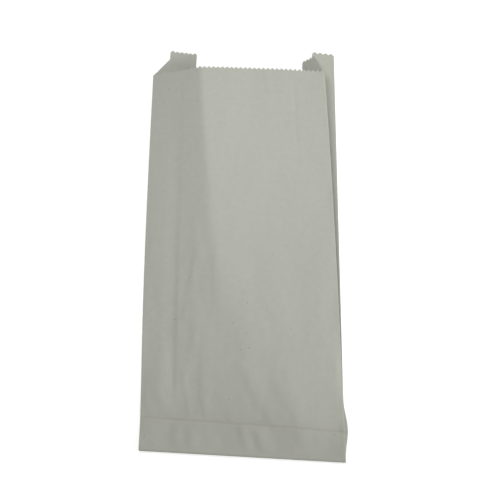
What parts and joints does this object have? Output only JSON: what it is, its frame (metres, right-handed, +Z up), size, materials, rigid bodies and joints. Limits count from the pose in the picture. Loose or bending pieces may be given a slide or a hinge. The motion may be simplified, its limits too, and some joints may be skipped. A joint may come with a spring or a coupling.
{
  "type": "paper bag",
  "caption": "Plain grey gusseted paper bag with a turned-over glued bottom and a stepped, serrated mouth, lying flat and slightly open.",
  "frame": {"origin": "centre of the bounding box in plan, on the table that the bag lies on", "axes": "+X across the bag's width, +Y along its length from the bottom fold towards the mouth, +Z up through the front panel"},
  "size_m": [0.1924, 0.4334, 0.0303],
  "materials": {
    "paper": "uncoated, slightly fibrous, matt"
  },
  "bodies": {
    "root": {"paper_bag": "paper"}
  },
  "joints": []
}
